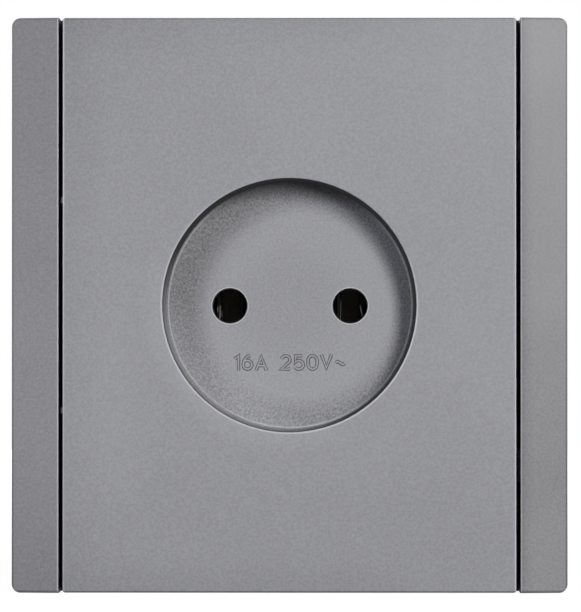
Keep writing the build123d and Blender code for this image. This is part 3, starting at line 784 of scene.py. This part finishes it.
def raise_stroke(shape, points, floor_y, rise):
    """Adds one flat-topped stroke, a closed form that is sunk a little into the floor."""
    lines = [Vector(p) for p in spaced(points)]
    closed = (lines[0] - lines[-1]).length < NEAR * RATING_CAP_H
    if closed:
        lines.pop()
    base = stroke_sides(lines, closed, STROKE_BASE / 2)
    top = stroke_sides(lines, closed, STROKE_TOP / 2)
    low_y, high_y = floor_y + RATING_SUNK, floor_y - rise
    rings = []
    for (base_left, base_right), (top_left, top_right) in zip(base, top):
        corners = ((base_left, low_y), (top_left, high_y), (top_right, high_y), (base_right, low_y))
        rings.append([shape.verts.new((p.x, y, p.y)) for p, y in corners])
    for near, far in zip(rings, rings[1:] + rings[:1] if closed else rings[1:]):
        for i in range(4):
            shape.faces.new((near[i], near[(i + 1) % 4], far[(i + 1) % 4], far[i]))
    if not closed:
        shape.faces.new(rings[0][::-1])
        shape.faces.new(rings[-1])


def rating(looks, floor_y):
    """Plain electrical rating, moulded on the well floor."""
    step = {" ": WORD_GAP - LETTER_GAP}
    widths = [step.get(c) or GLYPHS[c][0] + LETTER_GAP for c in RATING]
    cursor = -(sum(widths) - LETTER_GAP) / 2
    shape = bmesh.new()
    for letter, width in zip(RATING, widths):
        for order, stroke in enumerate(GLYPHS.get(letter, (0, []))[1]):
            places = [(cursor + x, z - 0.5) for x, z in stroke]
            line = [(x * RATING_CAP_H, RATING_Z + z * RATING_CAP_H) for x, z in places]
            raise_stroke(shape, line, floor_y, RATING_RISE - order * CROSSING_DROP)
        cursor += width
    bmesh.ops.recalc_face_normals(shape, faces=shape.faces)
    mesh = finished(shape, "rating")
    add_piece("rating", mesh, looks["silver_plastic"], "housing")


def thread_radius(turn, depth):
    """Radius of the threaded shank at a part of a turn and a depth under the head."""
    phase = (depth / THREAD_PITCH - turn) % 1
    ridge = 1 - abs(2 * phase - 1)
    return SCREW_SHANK_R - THREAD_DEPTH * (1 - ridge)


def screw_rings(head_r, length):
    """Rings of a screw from head to tip, each a depth and a radius for every side."""
    rings = []
    for i in range(SCREW_ROUND_STEPS + 1):
        a = math.radians(90 * i / SCREW_ROUND_STEPS)
        radius = head_r - SCREW_HEAD_ROUND * (1 - math.sin(a))
        rings.append((SCREW_HEAD_ROUND * (1 - math.cos(a)) - SCREW_HEAD_H, [radius] * SCREW_SIDES))
    root = SCREW_SHANK_R - THREAD_DEPTH
    rings.append((0.0, [head_r] * SCREW_SIDES))
    rings.append((0.0, [root] * SCREW_SIDES))
    rows = round((length - THREAD_RUNOUT) / THREAD_PITCH * THREAD_ROWS)
    for i in range(1, rows + 1):
        depth = (length - THREAD_RUNOUT) * i / rows
        turns = [side / SCREW_SIDES for side in range(SCREW_SIDES)]
        rings.append((depth, [thread_radius(turn, depth) for turn in turns]))
    rings.append((length - THREAD_RUNOUT / 3, [root * TIP_START_SHARE] * SCREW_SIDES))
    rings.append((length, [root * TIP_END_SHARE] * SCREW_SIDES))
    return rings


def screw_mesh(name, head_r, length):
    """Closed screw along Y with the underside of its head at the origin."""
    shape = bmesh.new()
    turns = [2 * math.pi * side / SCREW_SIDES for side in range(SCREW_SIDES)]
    loops = []
    for depth, radii in screw_rings(head_r, length):
        corners = [(r * math.cos(a), depth, r * math.sin(a)) for r, a in zip(radii, turns)]
        loops.append([shape.verts.new(corner) for corner in corners])
    for near, far in zip(loops, loops[1:]):
        for i in range(SCREW_SIDES):
            j = (i + 1) % SCREW_SIDES
            shape.faces.new((near[i], near[j], far[j], far[i]))
    shape.faces.new(loops[0])
    shape.faces.new(loops[-1])
    bmesh.ops.recalc_face_normals(shape, faces=shape.faces)
    return finished(shape, name)


def box_mesh(low, high):
    """Box between two corners, used as a cutter."""
    shape = bmesh.new()
    size = Vector(high) - Vector(low)
    middle = (Vector(high) + Vector(low)) / 2
    stretch = Matrix.Diagonal((*size, 1))
    bmesh.ops.create_cube(shape, size=1, matrix=Matrix.Translation(middle) @ stretch)
    return finished(shape, "cutter")


def cut(mesh, cutter_mesh):
    """New mesh: the first without the second."""
    whole = bpy.data.objects.new("whole", mesh)
    cutter = bpy.data.objects.new("cutter", cutter_mesh)
    for thing in (whole, cutter):
        bpy.context.scene.collection.objects.link(thing)
    modifier = whole.modifiers.new("slot", "BOOLEAN")
    modifier.operation = "DIFFERENCE"
    modifier.solver = "EXACT"
    modifier.object = cutter
    bpy.context.view_layer.update()
    evaluated = whole.evaluated_get(bpy.context.evaluated_depsgraph_get())
    result = bpy.data.meshes.new_from_object(evaluated)
    for thing in (whole, cutter):
        bpy.data.objects.remove(thing)
    return result


def smooth_by_angle(mesh, degrees):
    """Smooth shading, with edges sharper than the angle kept crisp."""
    shape = bmesh.new()
    shape.from_mesh(mesh)
    for face in shape.faces:
        face.smooth = True
    for edge in shape.edges:
        edge.smooth = edge.is_manifold and edge.calc_face_angle() < math.radians(degrees)
    shape.to_mesh(mesh)
    shape.free()


def claw_screw(side, looks):
    """Slotted screw with a rolled thread, in place of the plain one."""
    node = f"claw_screw_{side}"
    low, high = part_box(node)
    seat_y = low.y + SCREW_HEAD_H
    head_r = (high.z - low.z) / 2
    slot_low = (-head_r, -2 * SCREW_HEAD_H, -SCREW_SLOT_W / 2)
    slot_high = (head_r, SCREW_SLOT_DEPTH - SCREW_HEAD_H, SCREW_SLOT_W / 2)
    mesh = cut(screw_mesh(node, head_r, high.y - seat_y), box_mesh(slot_low, slot_high))
    smooth_by_angle(mesh, SMOOTH_ANGLE)
    mesh.transform(Matrix.Translation(((low.x + high.x) / 2, seat_y, (low.z + high.z) / 2)))
    body = f"{side}_claw_screw"
    piece = add_piece(f"threaded_{node}", mesh, looks["zinc_screw"], body)
    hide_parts(node)


def world():
    """White where it is seen, and a soft grey surround as light."""
    surround = bpy.data.worlds.new("studio")
    graph = Graph(surround)
    graph.tree.nodes.clear()
    dim = {"Color": (*AMBIENT, 1), "Strength": AMBIENT_STRENGTH}
    ambient = graph.node("ShaderNodeBackground", "Background", dim)
    full = {"Color": (*WHITE, 1), "Strength": 1.0}
    white = graph.node("ShaderNodeBackground", "Background", full)
    inputs = {"Fac": graph.seen_directly(), 1: ambient, 2: white}
    graph.end("ShaderNodeOutputWorld", graph.node("ShaderNodeMixShader", "Shader", inputs))
    bpy.context.scene.world = surround


def floor(level):
    """Pale floor that keeps the shadow of the part and runs out into white."""
    material = bpy.data.materials.new("studio_floor")
    graph = Graph(material)
    graph.tree.nodes.clear()
    matte = graph.node("ShaderNodeBsdfDiffuse", "BSDF", {"Color": (*FLOOR_COLOUR, 1)})
    place = graph.node("ShaderNodeTexCoord", "Object", {})
    away = graph.node("ShaderNodeVectorMath", "Value", {0: place}, operation="LENGTH")
    strength = graph.seen_directly() * graph.spread(away, FLOOR_GLOW, 1.0, *FLOOR_GLOW_SPAN)
    lit = {"Color": (*WHITE, 1), "Strength": strength}
    glow = graph.node("ShaderNodeEmission", "Emission", lit)
    both = graph.node("ShaderNodeAddShader", "Shader", {0: matte, 1: glow})
    graph.end("ShaderNodeOutputMaterial", both)
    shape = bmesh.new()
    bmesh.ops.create_grid(shape, x_segments=1, y_segments=1, size=FLOOR_REACH)
    mesh = finished(shape, "studio_floor")
    mesh.materials.append(material)
    ground = bpy.data.objects.new("studio_floor", mesh)
    ground.location = (0, 0, level)
    bpy.context.scene.collection.objects.link(ground)


def area_light(name, place, size, power, colour):
    """Soft light, so wide and so high, that points at the middle of the part."""
    lamp = bpy.data.lights.new(name, "AREA")
    lamp.shape = "RECTANGLE"
    lamp.size, lamp.size_y = size
    lamp.energy = power
    lamp.color = colour
    light = bpy.data.objects.new(name, lamp)
    light.location = place
    light.rotation_euler = (-Vector(place)).to_track_quat("-Z", "Y").to_euler()
    bpy.context.scene.collection.objects.link(light)


def camera(front_y):
    """Camera at the photograph's viewing angle."""
    lens = bpy.data.cameras.new("camera")
    lens.sensor_fit = "VERTICAL"
    lens.sensor_height = SENSOR
    lens.lens = SENSOR * CAMERA_DISTANCE / PICTURE_H
    view = bpy.data.objects.new("camera", lens)
    view.location = (CAMERA_RIGHT, front_y - CAMERA_DISTANCE, -CAMERA_BELOW)
    aim = Vector((AIM_RIGHT, front_y, -AIM_BELOW))
    view.rotation_euler = (aim - view.location).to_track_quat("-Z", "Y").to_euler()
    bpy.context.scene.collection.objects.link(view)
    bpy.context.scene.camera = view


panel_low, panel_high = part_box("face_panel")
well_floor_y = panel_high.y - CUP_FLOOR_T

looks = make_looks(well_floor_y)
dress(looks)
rating(looks, well_floor_y)
for side in ("left", "right"):
    claw_screw(side, looks)

world()
floor(cad_box[0].z)
for name, light in LIGHTS.items():
    area_light(name, *light)
camera(panel_low.y)
bpy.context.scene.view_settings.view_transform = "Standard"
